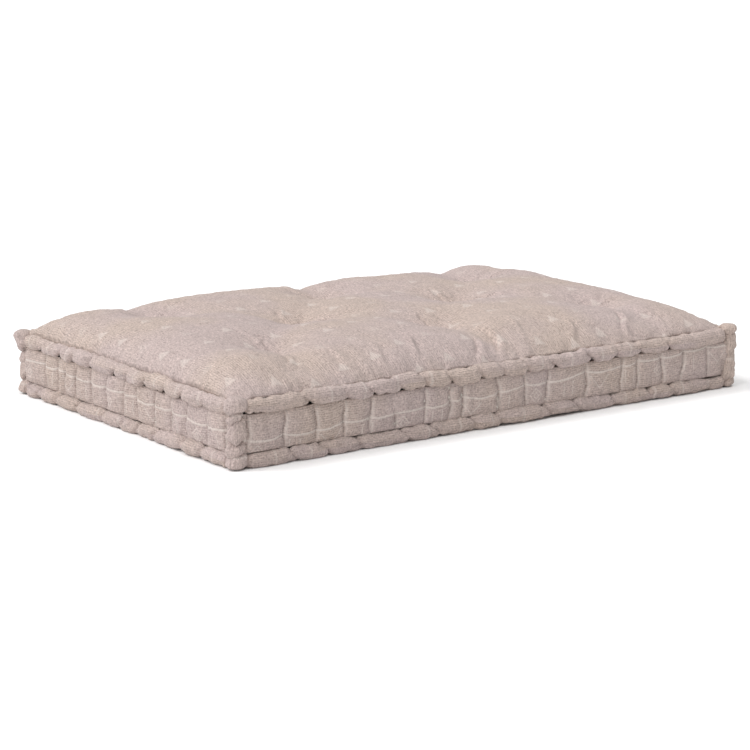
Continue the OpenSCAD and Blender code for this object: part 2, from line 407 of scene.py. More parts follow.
def new_material(name):
    """A material with a bare Principled shader, as (material, web, shader)."""
    material = bpy.data.materials.new(name)
    material.use_nodes = True
    tree = material.node_tree
    tree.nodes.clear()
    web = Web(tree)
    shader = web.add("ShaderNodeBsdfPrincipled")
    web.add("ShaderNodeOutputMaterial", {"Surface": shader.outputs[0]})
    return material, web, shader


def solid_colour(rgb):
    """A colour with full cover."""
    return (rgb[0], rgb[1], rgb[2], 1.0)


def cell_place(web, value, pitch):
    """Number of the cell that a coordinate is in, and its place there from -0.5 to 0.5."""
    steps = web.maths("DIVIDE", value, pitch)
    number = web.maths("FLOOR", steps)
    place = web.minus(web.maths("FRACT", steps), 0.5)
    return number, place


def near_line(web, distance, half_width):
    """1 on a line and 0 away from it, from the signed distance to it."""
    return web.span(web.size(distance), half_width * 1.4, half_width * 0.6)


def surface(web, shader, colour, height, bump, roughness, shine):
    """Gives a shader its colour, roughness and shine, and a bump of that strength and depth."""
    strength, depth = bump
    relief = web.add("ShaderNodeBump", {"Height": height, "Strength": strength, "Distance": depth})
    for key, value in (("Base Color", colour), ("Normal", relief.outputs[0]),
                       ("Roughness", roughness), ("Specular IOR Level", shine)):
        web.feed(shader.inputs[key], value)


def triangle_rows(web, u, v):
    """Rows of small woven triangles and dashes, which run along the threads."""
    row, across = cell_place(web, v, 0.0735)
    shift = web.times(web.sine(web.times(row, 2.4)), 0.03)
    number, along = cell_place(web, web.plus(u, shift), 0.072)
    slope = web.minus(0.085, web.times(along, 0.55))
    inside = web.span(web.minus(slope, web.size(across)), -0.01, 0.03)
    ends = web.span(web.size(along), 0.185, 0.155)
    thin = web.maths("GREATER_THAN", web.sine(web.times(number, 1.9)), -0.2)
    return web.times(web.times(inside, ends), web.times_plus(thin, 0.32, 0.25))


def border_figures(web, u, v, wander):
    """A woven line along the border at v = 0, with bars, chevrons and lozenges below it."""
    level = web.times_plus(wander, 0.006, v)
    line = near_line(web, web.plus(level, -0.003), 0.0019)
    number, place = cell_place(web, u, 0.078)
    height = web.plus(level, 0.018)
    along = web.times(place, 0.078)
    far = web.size(along)
    kind = web.maths("FLOORED_MODULO", number, 4.0)
    bars = near_line(web, web.minus(far, 0.011), 0.0012)
    chevron = near_line(web, web.minus(height, web.minus(far, 0.010)), 0.0016)
    rim = web.plus(far, web.size(height))
    lozenge = web.larger(near_line(web, web.minus(rim, 0.014), 0.0014),
                         near_line(web, web.minus(rim, 0.006), 0.0014))
    figures = web.times(bars, web.maths("COMPARE", kind, 0.0, 0.5))
    for mask, index in ((chevron, 1.0), (lozenge, 3.0), (bars, 2.0)):
        figures = web.larger(figures, web.times(mask, web.maths("COMPARE", kind, index, 0.5)))
    window = web.span(web.size(height), 0.0145, 0.0130)
    room = web.span(far, 0.026, 0.024)
    figures = web.times(web.times(figures, window), room)
    return web.larger(line, web.times(figures, 0.75))


def roll_bands(web, u):
    """Narrow pale bands across a roll, a few here and there."""
    number, place = cell_place(web, u, 0.037)
    chosen = web.maths("GREATER_THAN", web.sine(web.times(number, 2.9)), 0.62)
    return web.times(near_line(web, place, 0.055), web.times(chosen, 0.55))


def cotton(name, figures="none", folds=False):
    """Coarse slub cotton that follows the piece's UV map, whose unit is the metre."""
    material, web, shader = new_material(name)
    rose, sand, pale = (solid_colour(c) for c in (colours().rose, colours().sand, colours().pale))
    uv = web.add("ShaderNodeUVMap", uv_map="Cloth").outputs[0]
    parts = web.add("ShaderNodeSeparateXYZ", {0: uv})
    u, v = parts.outputs[0], parts.outputs[1]
    patches = web.noise(uv, 4.2, 2.0)
    mottle = web.noise(uv, 38.0, 3.0, 0.6)
    speckle = web.noise(uv, 300.0, 2.0, 0.7)
    slubs = web.noise(web.scaled(uv, (95.0, 330.0, 1.0)), 1.0, 3.0, 0.65)
    warps = web.noise(web.scaled(uv, (330.0, 110.0, 1.0)), 1.0, 2.0, 0.6)
    sway = web.times(mottle, 2.2)
    rib_wave = web.sine(web.times_plus(v, math.tau / 0.0042, sway))
    cross_wave = web.sine(web.times_plus(u, math.tau / 0.0030, sway))
    colour = web.mix(web.span(patches, 0.42, 0.58), rose, sand)
    tone = web.plus(web.span(slubs, 0.3, 0.7, -0.17, 0.17), web.span(warps, 0.3, 0.7, -0.12, 0.12))
    tone = web.plus(tone, web.span(speckle, 0.32, 0.68, -0.26, 0.26))
    tone = web.plus(tone, web.span(mottle, 0.3, 0.7, -0.06, 0.06))
    tone = web.times_plus(rib_wave, web.span(patches, 0.40, 0.60, 0.03, 0.13), tone)
    tone = web.plus(tone, 1.0)
    grey = web.add("ShaderNodeCombineColor", {0: tone, 1: tone, 2: tone}).outputs[0]
    colour = web.mix(1.0, colour, grey, "MULTIPLY")
    marks = None
    if figures == "triangles":
        marks = triangle_rows(web, u, v)
    if figures == "border":
        marks = border_figures(web, u, v, web.noise(uv, 14.0, 1.0))
    if figures == "bands":
        marks = roll_bands(web, u)
    if marks is not None:
        pale_mark = web.times(marks, web.span(speckle, 0.3, 0.62, 0.45, 0.90))
        colour = web.mix(pale_mark, colour, pale)
    if folds:
        # A crease is worn pale on one side, which is also a painted highlight, and has painted
        # shade, a darker rose, on the other
        fold = web.add("ShaderNodeAttribute", attribute_name="fold").outputs["Fac"]
        worn_edge_and_highlight = web.times(web.larger(fold, 0.0), 0.80)
        other_side = web.larger(web.times(fold, -1.0), 0.0)
        painted_crease_shade = web.times(other_side, 0.45)
        colour = web.mix(worn_edge_and_highlight, colour, pale)
        colour = web.mix(painted_crease_shade, colour, solid_colour([c * 0.55 for c in colours().rose]))
    height = web.times_plus(rib_wave, 0.22, web.times(cross_wave, 0.12))
    height = web.times_plus(speckle, 0.9, height)
    height = web.times_plus(slubs, 0.7, height)
    surface(web, shader, colour, height, (0.75, 0.0011), 0.93, 0.18)
    web.feed(shader.inputs["Sheen Weight"], 0.12)
    web.feed(shader.inputs["Sheen Roughness"], 0.6)
    return material


def twisted_twine():
    """Natural twine with a fine twist."""
    material, web, shader = new_material("cotton_twine")
    at = web.add("ShaderNodeTexCoord").outputs["Object"]
    strands = web.add("ShaderNodeTexWave", {"Vector": at, "Scale": 260.0, "Distortion": 1.5},
                      bands_direction="DIAGONAL").outputs["Fac"]
    fuzz = web.noise(at, 900.0, 2.0)
    dark = solid_colour([c * 0.72 for c in colours().twine])
    share = web.times_plus(fuzz, 0.4, web.times(strands, 0.6))
    colour = web.mix(share, dark, solid_colour(colours().twine))
    surface(web, shader, colour, strands, (0.6, 0.0004), 0.85, 0.2)
    return material


def felted_fibre():
    """Off-white felted fibre."""
    material, web, shader = new_material("cotton_fibre")
    at = web.add("ShaderNodeTexCoord").outputs["Object"]
    clumps = web.noise(at, 60.0, 4.0, 0.65)
    hairs = web.noise(web.scaled(at, (260.0, 900.0, 400.0)), 1.0, 3.0, 0.7)
    dark = solid_colour([c * 0.8 for c in colours().fibre])
    colour = web.mix(web.span(clumps, 0.3, 0.7), dark, solid_colour(colours().fibre))
    surface(web, shader, colour, web.times_plus(hairs, 0.4, clumps), (0.7, 0.002), 0.97, 0.1)
    return material


MATERIAL_MAKERS = {
    "top": lambda: cotton("cotton_top", "triangles"),
    "border": lambda: cotton("cotton_border", "border", folds=True),
    "roll": lambda: cotton("cotton_roll", "bands"),
    "bottom": lambda: cotton("cotton_bottom"),
    "twine": twisted_twine,
    "fibre": felted_fibre,
}
_made_materials = {}


def finish_of(key):
    """The material of that kind, made at its first use."""
    if key not in _made_materials:
        _made_materials[key] = MATERIAL_MAKERS[key]()
    return _made_materials[key]


# ---------------------------------------------------------------- rolls


def beside(side, s, out):
    """Points on the floor at the places s along a side, out from the middle."""
    along, outwards = SIDES[side][:2]
    return np.broadcast_to(s, out.shape)[..., None] * np.array(along) \
        + out[..., None] * np.array(outwards)


def wrapped_uvs(run, radius, columns):
    """UVs in metres of a tube: run along it, and its girth across."""
    girth = np.linspace(0, math.tau * radius, columns + 1)
    return np.stack(grid_of(run, girth), axis=-1)


def askew_field(s, turn, marks, rng):
    """The station field of stitches that run slanting round a roll."""
    slant = rng.uniform(0.004, 0.015, len(marks))
    lean = math.radians(90) + rng.normal(0, 0.6, len(marks))
    _, place, nearest, _ = station_field(s, marks)
    close = np.cos(math.pi * np.minimum(place, 1 - place)) ** 2
    return station_field(s + close * slant[nearest] * np.cos(turn - lean[nearest]), marks)


# How far a roll's ends reach into the corner rolls
ROLL_REACH = 0.007


def roll_points(side, level, marks, seed, step=0.0026, columns=44):
    """Points and UVs of one roll: lumps of fibre between stitches that pinch the cloth."""
    _, _, face, half = SIDES[side]
    rng = np.random.default_rng(seed)
    end = half + ROLL_REACH
    s = np.linspace(-end, end, int(round(2 * end / step)) + 1)[:, None]
    turn = np.linspace(0, math.tau, columns, endpoint=False)[None, :]
    gap, place, nearest, lump = askew_field(s, turn, marks, rng)
    belly = np.sin(math.pi * place)
    depth = shape().stitch_depth * rng.uniform(0.58, 1.22, len(marks))
    # The ends lie against the corner rolls and aren't pinched
    depth[[0, -1]] *= 0.3
    width = rng.uniform(0.0024, 0.0044, len(marks))
    bite = math.radians(-65) if level == "top" else math.radians(70)
    grip = 0.58 + 0.42 * np.cos(turn - bite)
    crease = depth[nearest] * grip * (0.7 * np.exp(-gap / width[nearest])
                                      + 0.3 * np.exp(-(gap / 0.011) ** 2))
    fat = rng.uniform(-0.07, 0.10, len(marks))[lump]
    radius = ROLL_R * (0.92 + 0.09 * belly ** 0.5 + fat * belly + 0.06 * belly * grip) - crease
    pleats = np.sin(5 * turn + 2.3 * nearest) + 0.7 * np.sin(8 * turn + 4.1 * nearest)
    radius = radius + 0.0008 * pleats * np.exp(-gap / 0.012) * ease(gap / 0.004) \
        + 0.00055 * drift(s, turn * ROLL_R * 0.35, 0.0085, seed + 2) * (1.3 - belly) \
        + 0.0011 * drift(s, turn * ROLL_R, 0.026, seed + 3)
    tip = np.clip((end - np.abs(s)) / 0.012, 0, 1)
    radius = radius * np.sqrt(1 - (1 - tip) ** 2) + 1e-5
    sway_out = rng.uniform(-0.0018, 0.0022, len(marks))[lump] * belly \
        + 0.0012 * drift(s, 0.0, 0.24, seed + 4)
    sway_up = rng.uniform(-0.0042, 0.0016, len(marks))[lump] * belly \
        + 0.0014 * drift(s, 1.0, 0.30, seed + 5)
    z = TOP_ROLL_Z if level == "top" else LOW_ROLL_Z
    out = face - ROLL_R + sway_out + radius * np.cos(turn)
    up = np.maximum(z + sway_up + radius * np.sin(turn), 0.0)
    points = beside(side, s, out)
    points[..., 2] += up
    return points, wrapped_uvs(s[:, 0] + 3.1 * seed, ROLL_R, columns)


def roll_seed(side, level):
    """Seed of a roll."""
    return 40 + 2 * list(SIDES).index(side) + (level == "top")


def edge_marks(level, side):
    """Stitch places of an edge."""
    half = SIDES[side][3]
    seed = sum(map(ord, level + side))
    return stations(2 * half, STITCH_SPACES.get(f"{level}_{side}"), seed)


class MATTRESS_OT_rolled_edges(bpy.types.Operator):
    """Make the eight lumpy rolls along the upper and lower edges"""

    bl_idname = "mattress.rolled_edges"
    bl_label = "Rolled Edges"

    def execute(self, context):
        for side in SIDES:
            for level in ("top", "bottom"):
                marks, seed = edge_marks(level, side), roll_seed(side, level)
                points, uvs = roll_points(side, level, marks, seed)
                obj = mesh_object(f"{level}_rolled_edge_{side}", points, uvs, tube=True)
                tidy_normals(obj)
                keep(obj, "roll", "roll_cloth",
                     f"{level}_roll_{side}", f"{level}_roll_rope_{side}")
        return {"FINISHED"}


# Corner rolls: swelling of the top and bottom knobs, outwards lean of the top, squareness of the
# top, and creases as shares of the height with their depths in metres
CORNER_FORMS = {
    "front_left": (0.17, 0.14, 0.000, 2.3,
                   ((0.21, 0.0074), (0.385, 0.0078), (0.67, 0.0072), (0.755, 0.0088))),
    "front_right": (0.03, 0.08, 0.001, 3.4, ((0.12, 0.0062), (0.55, 0.0025), (0.83, 0.0034))),
    "back_left": (0.20, 0.14, 0.006, 2.2, ((0.24, 0.0080), (0.50, 0.0032), (0.70, 0.0074))),
    "back_right": (0.11, 0.09, 0.002, 2.6, ((0.18, 0.0064), (0.45, 0.0038), (0.78, 0.0066))),
}


def corner_seed(corner):
    """Seed of a corner roll."""
    return 70 + list(CORNERS).index(corner)


def corner_points(corner, seed, rows=120, columns=64):
    """Points and UVs of one upright corner roll."""
    sx, sy = CORNERS[corner]
    knob, foot, lean_out, square, creases = CORNER_FORMS[corner]
    rng = np.random.default_rng(seed)
    t = np.linspace(0, 1, rows)[:, None]
    turn = np.linspace(0, math.tau, columns, endpoint=False)[None, :]
    z = CORNER_H * t
    swell = knob * ease((t - 0.76) / 0.10 + 0.5) + foot * ease((0.20 - t) / 0.10 + 0.5)
    radius = CORNER_R * (0.92 + swell) * (1 + 0.02 * np.cos(2 * turn + seed))
    for share, depth in creases:
        slant = rng.uniform(0.003, 0.009) * np.cos(turn - rng.uniform(-1.2, 0.8))
        sway = drift(turn * CORNER_R, 0.0, 0.03, seed + int(share * 100))
        off = z - (CORNER_H * share + slant + 0.0015 * sway)
        dent = 0.75 * np.exp(-np.abs(off) / 0.0026) + 0.25 * np.exp(-(off / 0.009) ** 2)
        radius = radius - depth * dent + 0.0016 * np.exp(-((off - 0.010) / 0.006) ** 2)
    radius = radius + 0.0011 * drift(turn * CORNER_R, z, 0.024, seed + 1) \
        + 0.0006 * drift(turn * CORNER_R, z * 0.4, 0.008, seed + 2)
    top = np.clip((CORNER_H - z) / 0.015, 0, 1)
    low = np.clip(z / 0.009, 0, 1)
    radius = radius * (1 - (1 - top) ** square) ** (1 / square) \
        * (1 - (1 - low) ** 2.2) ** (1 / 2.2) + 1e-5
    away = 0.0010 * drift(z, 0.0, 0.09, seed + 3) + lean_out * ease((t - 0.6) / 0.4)
    x = sx * (HALF_X - CORNER_R + away) + radius * np.cos(turn)
    y = sy * (HALF_Y - CORNER_R + away) + radius * np.sin(turn)
    points = np.stack([x, y, np.broadcast_to(z, x.shape)], axis=-1)
    return points, wrapped_uvs(z[:, 0] + seed, CORNER_R, columns)


class MATTRESS_OT_corner_rolls(bpy.types.Operator):
    """Make the four upright corner rolls, with a knob at each end"""

    bl_idname = "mattress.corner_rolls"
    bl_label = "Corner Rolls"

    def execute(self, context):
        for corner in CORNERS:
            points, uvs = corner_points(corner, corner_seed(corner))
            obj = mesh_object(f"rolled_corner_{corner}", points, uvs, tube=True)
            tidy_normals(obj)
            keep(obj, "roll", "roll_cloth",
                 f"corner_roll_{corner}", f"corner_rope_{corner}")
        return {"FINISHED"}


# ---------------------------------------------------------------- borders


# Heights of the woven line of a border at its two ends
LINE_HEIGHTS = {"front": (0.043, 0.086), "left": (0.062, 0.072),
                "back": (0.070, 0.050), "right": (0.080, 0.060)}
# How far a border reaches under the rolls, above and below, and into the corner rolls
BORDER_TUCK, BORDER_REACH = 0.002, 0.0085
BORDER_CUT = BORDER_HIGH - BORDER_LOW + 2 * BORDER_TUCK
# Depth of a border's face behind the face of its rolls, and the depths that it stays between
BORDER_BACK, BORDER_LEVELS = 0.0112, (0.0012, 0.0122)


def border_points(side, marks, seed, rib_share, step=0.0019, rows_up=38):
    """Points, UVs and folds of a border, which puffs out between upright creases."""
    _, _, face, half = SIDES[side]
    rng = np.random.default_rng(seed)
    end = half + BORDER_REACH
    s = np.linspace(-end, end, int(round(2 * end / step)) + 1)[:, None]
    v = np.linspace(0, 1, rows_up)[None, :]
    z = BORDER_LOW - BORDER_TUCK + BORDER_CUT * v
    slant = rng.uniform(-0.010, 0.010, len(marks))
    wander = 0.0022 * drift(s, v * 0.07, 0.05, seed + 1)
    _, place, nearest, _ = station_field(s + wander, marks)
    close = np.cos(math.pi * np.minimum(place, 1 - place)) ** 2
    askew = close * slant[nearest] * (v - 0.5)
    gap, place, nearest, rib = station_field(s + wander - askew, marks)
    # A crease may fade out before it reaches the upper or lower roll
    fade, tall = rng.uniform(-0.2, 1.2, len(marks)), rng.random(len(marks)) < rib_share
    upper = rng.random(len(marks)) < 0.5
    part = ease(np.where(upper[nearest], v - fade[nearest], fade[nearest] - v) / 0.35 + 0.5)
    reach = np.where(tall[nearest], 1.0, 0.15 + 0.85 * part)
    arch = (4 * v * (1 - v)) ** 0.45
    # A rib rises steeply on its left as seen from outside, and falls away slowly to the right
    ahead = 1 - place if side in ("left", "back") else place
    run = ahead * (marks[rib + 1] - marks[rib])
    rest = (1 - ahead) * (marks[rib + 1] - marks[rib])
    fall = 0.50 if side in ("front", "back") else 0.72
    puff = (1 - reach * np.exp(-run / 0.0050)) * (1 - fall * reach * ahead ** 1.4) \
        * (1 - 0.8 * reach * np.exp(-rest / 0.0030))
    depth = shape().rib_depth * rng.uniform(0.80, 1.10, len(marks))
    bulge = depth[rib] * (0.12 + 0.88 * puff) * (0.15 + 0.85 * arch)
    crease = 0.0026 * np.exp(-gap / 0.0026) * reach * arch
    top_gap = station_field(s, edge_marks("top", side))[0]
    low_gap = station_field(s, edge_marks("bottom", side))[0]
    tuck = 0.002 * (np.exp(-top_gap / 0.007) * np.exp(-(1 - v) / 0.2)
                    + np.exp(-low_gap / 0.007) * np.exp(-v / 0.2))
    fine = (0.0009 * drift(s, z * 0.5, 0.022, seed + 2) + 0.0004 * drift(s, z, 0.009, seed + 3)
            + 0.0005 * drift(s * 0.2, z, 0.010, seed + 4)) * arch
    level = BORDER_BACK - bulge + crease + tuck - fine
    out = face - np.clip(level, *BORDER_LEVELS)
    points = beside(side, s, out)
    points[..., 2] += np.broadcast_to(z, out.shape)
    start, stop = LINE_HEIGHTS[side]
    # The line sags between the creases, which pull it up
    line = start + (stop - start) * (s + end) / (2 * end) + 0.0018 * drift(s, 0.0, 0.12, seed + 6) \
        + 0.0034 * reach * (2 * place - 1) ** 2
    uvs = np.stack([np.broadcast_to(s + 0.0195 * seed, out.shape), z - line], axis=-1)
    # Distance from the crease, positive where the cloth is worn pale with a painted highlight
    signed = np.where(place < 0.5, gap, -gap) * (-1 if side in ("left", "back") else 1)
    pale_mark = np.exp(-np.abs(signed - 0.0035) / 0.0020)
    # Painted shade in the crease, on the side away from the pale edge
    painted_shade = np.where(signed < 0.001, np.exp(signed / 0.0065), 0)
    folds = (pale_mark - painted_shade * (1 - pale_mark)) * reach * np.broadcast_to(arch, out.shape)
    return points, uvs, folds


class MATTRESS_OT_borders(bpy.types.Operator):
    """Make the four border strips between the rolls"""

    bl_idname = "mattress.borders"
    bl_label = "Borders"

    def execute(self, context):
        for number, (side, (_, outwards, _, half)) in enumerate(SIDES.items()):
            seed = 90 + number
            marks = stations(2 * half, STITCH_SPACES.get(f"rib_{side}"), seed)
            # Share of the creases that run over a border's full height
            share = 0.70 if side in ("front", "back") else 0.95
            points, uvs, folds = border_points(side, marks, seed, share)
            obj = mesh_object(f"border_cloth_{side}", points, uvs)
            fold = obj.data.attributes.new("fold", "FLOAT", "POINT")
            fold.data.foreach_set("value", folds.astype(np.float32).ravel())
            tidy_normals(obj, outwards)
            thicken(obj, CLOTH * 0.8)
            keep(obj, "border", "border_cloth", f"border_{side}")
        return {"FINISHED"}


# ---------------------------------------------------------------- panels


# Folds of the top panel: x and y of start and end, sideways bow, and height, which is negative
# for a valley
FOLDS = (
    (-0.148, -0.262, -0.186, -0.368, 0.010, 0.0040),
    (-0.012, -0.318, -0.050, -0.372, 0.006, -0.0055),
    (0.026, -0.282, 0.006, -0.372, 0.010, -0.0065),
    (-0.236, -0.300, -0.262, -0.368, 0.006, 0.0030),
    (0.216, -0.310, 0.186, -0.370, 0.008, 0.0042),
    (0.354, -0.296, 0.308, -0.370, 0.008, -0.0052),
    (0.430, -0.296, 0.424, -0.368, 0.006, 0.0036),
    (0.002, -0.196, 0.008, -0.120, 0.008, -0.0060),
    (-0.388, -0.194, -0.372, -0.122, -0.006, -0.0055),
    (-0.195, 0.006, -0.190, 0.072, 0.006, 0.0045),
    (0.195, 0.006, 0.184, 0.080, 0.006, -0.0050),
    (-0.400, -0.215, -0.440, -0.330, 0.010, -0.0030),
    (0.100, -0.270, 0.078, -0.362, 0.007, 0.0030),
    (-0.330, -0.275, -0.348, -0.366, 0.006, -0.0028),
    (0.395, 0.200, 0.470, 0.150, 0.006, -0.0045),
    (0.010, 0.206, -0.030, 0.300, 0.008, -0.0045),
    (-0.385, 0.206, -0.420, 0.300, 0.008, -0.0045),
    (0.390, -0.205, 0.470, -0.190, 0.006, -0.0040),
    (-0.200, -0.010, -0.290, -0.040, 0.008, -0.0035),
    (0.205, -0.008, 0.290, -0.060, 0.008, -0.0035),
)


# Creases that run out from each tuft: direction in degrees and strength
TUFT_CREASES = ((86, 1.0), (26, 0.8), (140, 0.6), (205, 0.7), (262, 1.0), (318, 0.6))


def near_segment(x, y, x0, y0, x1, y1):
    """Place along a segment from 0 to 1, and signed distance to its line."""
    long = math.hypot(x1 - x0, y1 - y0)
    ux, uy = (x1 - x0) / long, (y1 - y0) / long
    return ((x - x0) * ux + (y - y0) * uy) / long, (x - x0) * -uy + (y - y0) * ux


def from_tufts(x, y):
    """Distance to the nearest tuft."""
    return np.min([np.hypot(x - tuft[0], y - tuft[1]) for tuft in TUFTS], axis=0)


def panel_line(half, cell):
    """Even coordinates over the cut cloth, and where they lie, closer together at the seams."""
    flat = np.linspace(-half, half, int(round(2 * half / cell)) + 1)
    rim = half - np.abs(flat)
    inwards = rim - 0.70 * 0.020 * (1 - np.exp(-rim / 0.020))
    return flat, np.sign(flat) * (half - inwards / inwards.max() * half)


def resampled_lines(grid, places):
    """Each row of a grid at other places, given as shares of its length."""
    count = grid.shape[1]
    return np.array([np.interp(places * (count - 1), np.arange(count), line) for line in grid])


def resampled(grid, x_places, y_places):
    """A grid's values at other places, given as shares of its rows and columns from 0 to 1."""
    return resampled_lines(resampled_lines(grid, y_places).T, x_places).T


def swollen_membrane(x_line, y_line):
    """Rise from 0 to 1 of a membrane that is held at its rim and at the tufts."""
    rise = None
    for cell in (0.042, 0.021, 0.0105):
        mx, my = int(2 * PANEL_X / cell), int(2 * PANEL_Y / cell)
        x, y = grid_of(np.linspace(-PANEL_X, PANEL_X, mx), np.linspace(-PANEL_Y, PANEL_Y, my))
        held = from_tufts(x, y) < max(0.008, cell * 0.75)
        rise = np.zeros(x.shape) if rise is None else \
            resampled(rise, np.linspace(0, 1, mx), np.linspace(0, 1, my))
        push = (2 * PANEL_X / (mx - 1)) * (2 * PANEL_Y / (my - 1)) * 60
        for _ in range(500):
            rise[1:-1, 1:-1] = 0.25 * (rise[:-2, 1:-1] + rise[2:, 1:-1]
                                       + rise[1:-1, :-2] + rise[1:-1, 2:] + push)
            rise[held] = 0.3 * np.percentile(rise, 97)
    rise = np.minimum(rise / np.percentile(rise, 99.5), 1.06)
    return resampled(rise, x_line / PANEL_X / 2 + 0.5, y_line / PANEL_Y / 2 + 0.5)


def shoulder(inwards, width, bend):
    """Rise from 0 to 1 of the panel over the distance inwards from a seam."""
    return (1 - (1 - np.clip(inwards / width, 0, 1)) ** bend) ** (1 / bend)


def valleys(x, y):
    """Shallow valleys, from 0 to 1, between neighbouring tufts and from the tufts to the seams."""
    reach = 0.0
    ends = [(a[:2], b[:2], 0.40) for a in TUFTS for b in TUFTS
            if a[0] < b[0] and math.hypot(a[0] - b[0], a[1] - b[1]) < 0.36]
    ends += [(a[:2], (a[0] * 1.02 + 0.02 * (abs(a[0]) < 0.1), math.copysign(PANEL_Y, a[1])), 0.95)
             for a in TUFTS if abs(a[1]) > 0.1]
    for (x0, y0), (x1, y1), least in ends:
        t, side = near_segment(x, y, x0, y0, x1, y1)
        inside = np.clip(t, 0, 1)
        off = np.hypot(side, (t - inside) * math.hypot(x1 - x0, y1 - y0))
        deep = least + (1 - least) * np.cos(math.pi * inside) ** 2
        reach = np.maximum(reach, np.exp(-(np.abs(off) / 0.036) ** 1.6) * deep)
    return reach


# Places where the filling lies lower: middle, radius and depth
HOLLOWS = ((0.29, 0.29, 0.11, 0.0085), (0.54, -0.08, 0.13, 0.0050), (0.55, -0.30, 0.08, 0.0080),
           (0.05, 0.31, 0.07, 0.0030), (-0.44, 0.30, 0.06, 0.0030))


def start_height(x_line, y_line):
    """Height of the top panel before the filling swells it."""
    x, y = grid_of(x_line, y_line)
    rise = swollen_membrane(x_line, y_line)
    low = from_tufts(x, y)
    frame_rise = shoulder(PANEL_Y - y, 0.135, 1.8) * shoulder(PANEL_Y + y, 0.130, 1.6) \
        * shoulder(PANEL_X - x, 0.130, 1.7) * shoulder(PANEL_X + x, 0.115, 2.1)
    z = RIM_Z + (MOUND_Z - RIM_Z) * frame_rise * (0.90 + 0.10 * rise)
    z = z - 0.027 * np.exp(-(low / 0.058) ** 1.4) - 0.0125 * valleys(x, y) * ease(frame_rise / 0.8)
    z = z + 0.0022 * drift(x, y, 0.17, 5) * ease(frame_rise / 0.7)
    for mid_x, mid_y, radius, depth in HOLLOWS:
        z = z - depth * np.exp(-(np.hypot(x - mid_x, y - mid_y) / radius) ** 2)
    return z + np.clip(PIT_Z - z, 0, None) * np.exp(-(low / 0.09) ** 4)


# Length of the simulation
SIM_FRAMES = 28


def swell_panel(x, y, z, cell):
    """The top panel's points after the filling has pushed it up between its seams and tufts."""
    rows, columns = x.shape
    points = np.stack([x, y, z], axis=-1)
    obj = mesh_object("panel_sim", points, points[..., :2])
    obj.shape_key_add(name="Basis")
    cut = obj.shape_key_add(name="cut cloth")
    spare = 1 + shape().spare_cloth
    cut.data.foreach_set("co", (points * spare).astype(np.float32).ravel())
    cut.value = 0.0
    pins = obj.vertex_groups.new(name="sewn")
    sewn = from_tufts(x, y) < cell * 1.25
    sewn[0, :] = sewn[-1, :] = sewn[:, 0] = sewn[:, -1] = True
    pins.add([int(k) for k in np.flatnonzero(sewn.ravel())], 1.0, "REPLACE")
    cloth = obj.modifiers.new("Cloth", "CLOTH")
    settings = cloth.settings
    settings.quality = 5
    settings.mass = 0.25
    settings.tension_stiffness = 14
    settings.compression_stiffness = 14
    settings.shear_stiffness = 4
    settings.bending_stiffness = 0.05
    settings.tension_damping = settings.compression_damping = settings.shear_damping = 5
    settings.air_damping = 2
    settings.vertex_group_mass = "sewn"
    settings.rest_shape_key = cut
    settings.use_pressure = True
    settings.uniform_pressure_force = shape().fill_pressure
    settings.effector_weights.gravity = 0
    cloth.collision_settings.use_collision = False
    cloth.point_cache.frame_start = 1
    cloth.point_cache.frame_end = SIM_FRAMES
    scene = bpy.context.scene
    for number in range(1, SIM_FRAMES + 1):
        scene.frame_set(number)
    evaluated = obj.evaluated_get(bpy.context.evaluated_depsgraph_get())
    result = np.zeros(len(obj.data.vertices) * 3, np.float32)
    evaluated.data.vertices.foreach_get("co", result)
    scene.frame_set(1)
    bpy.data.objects.remove(obj)
    return result.reshape(rows, columns, 3).astype(float)


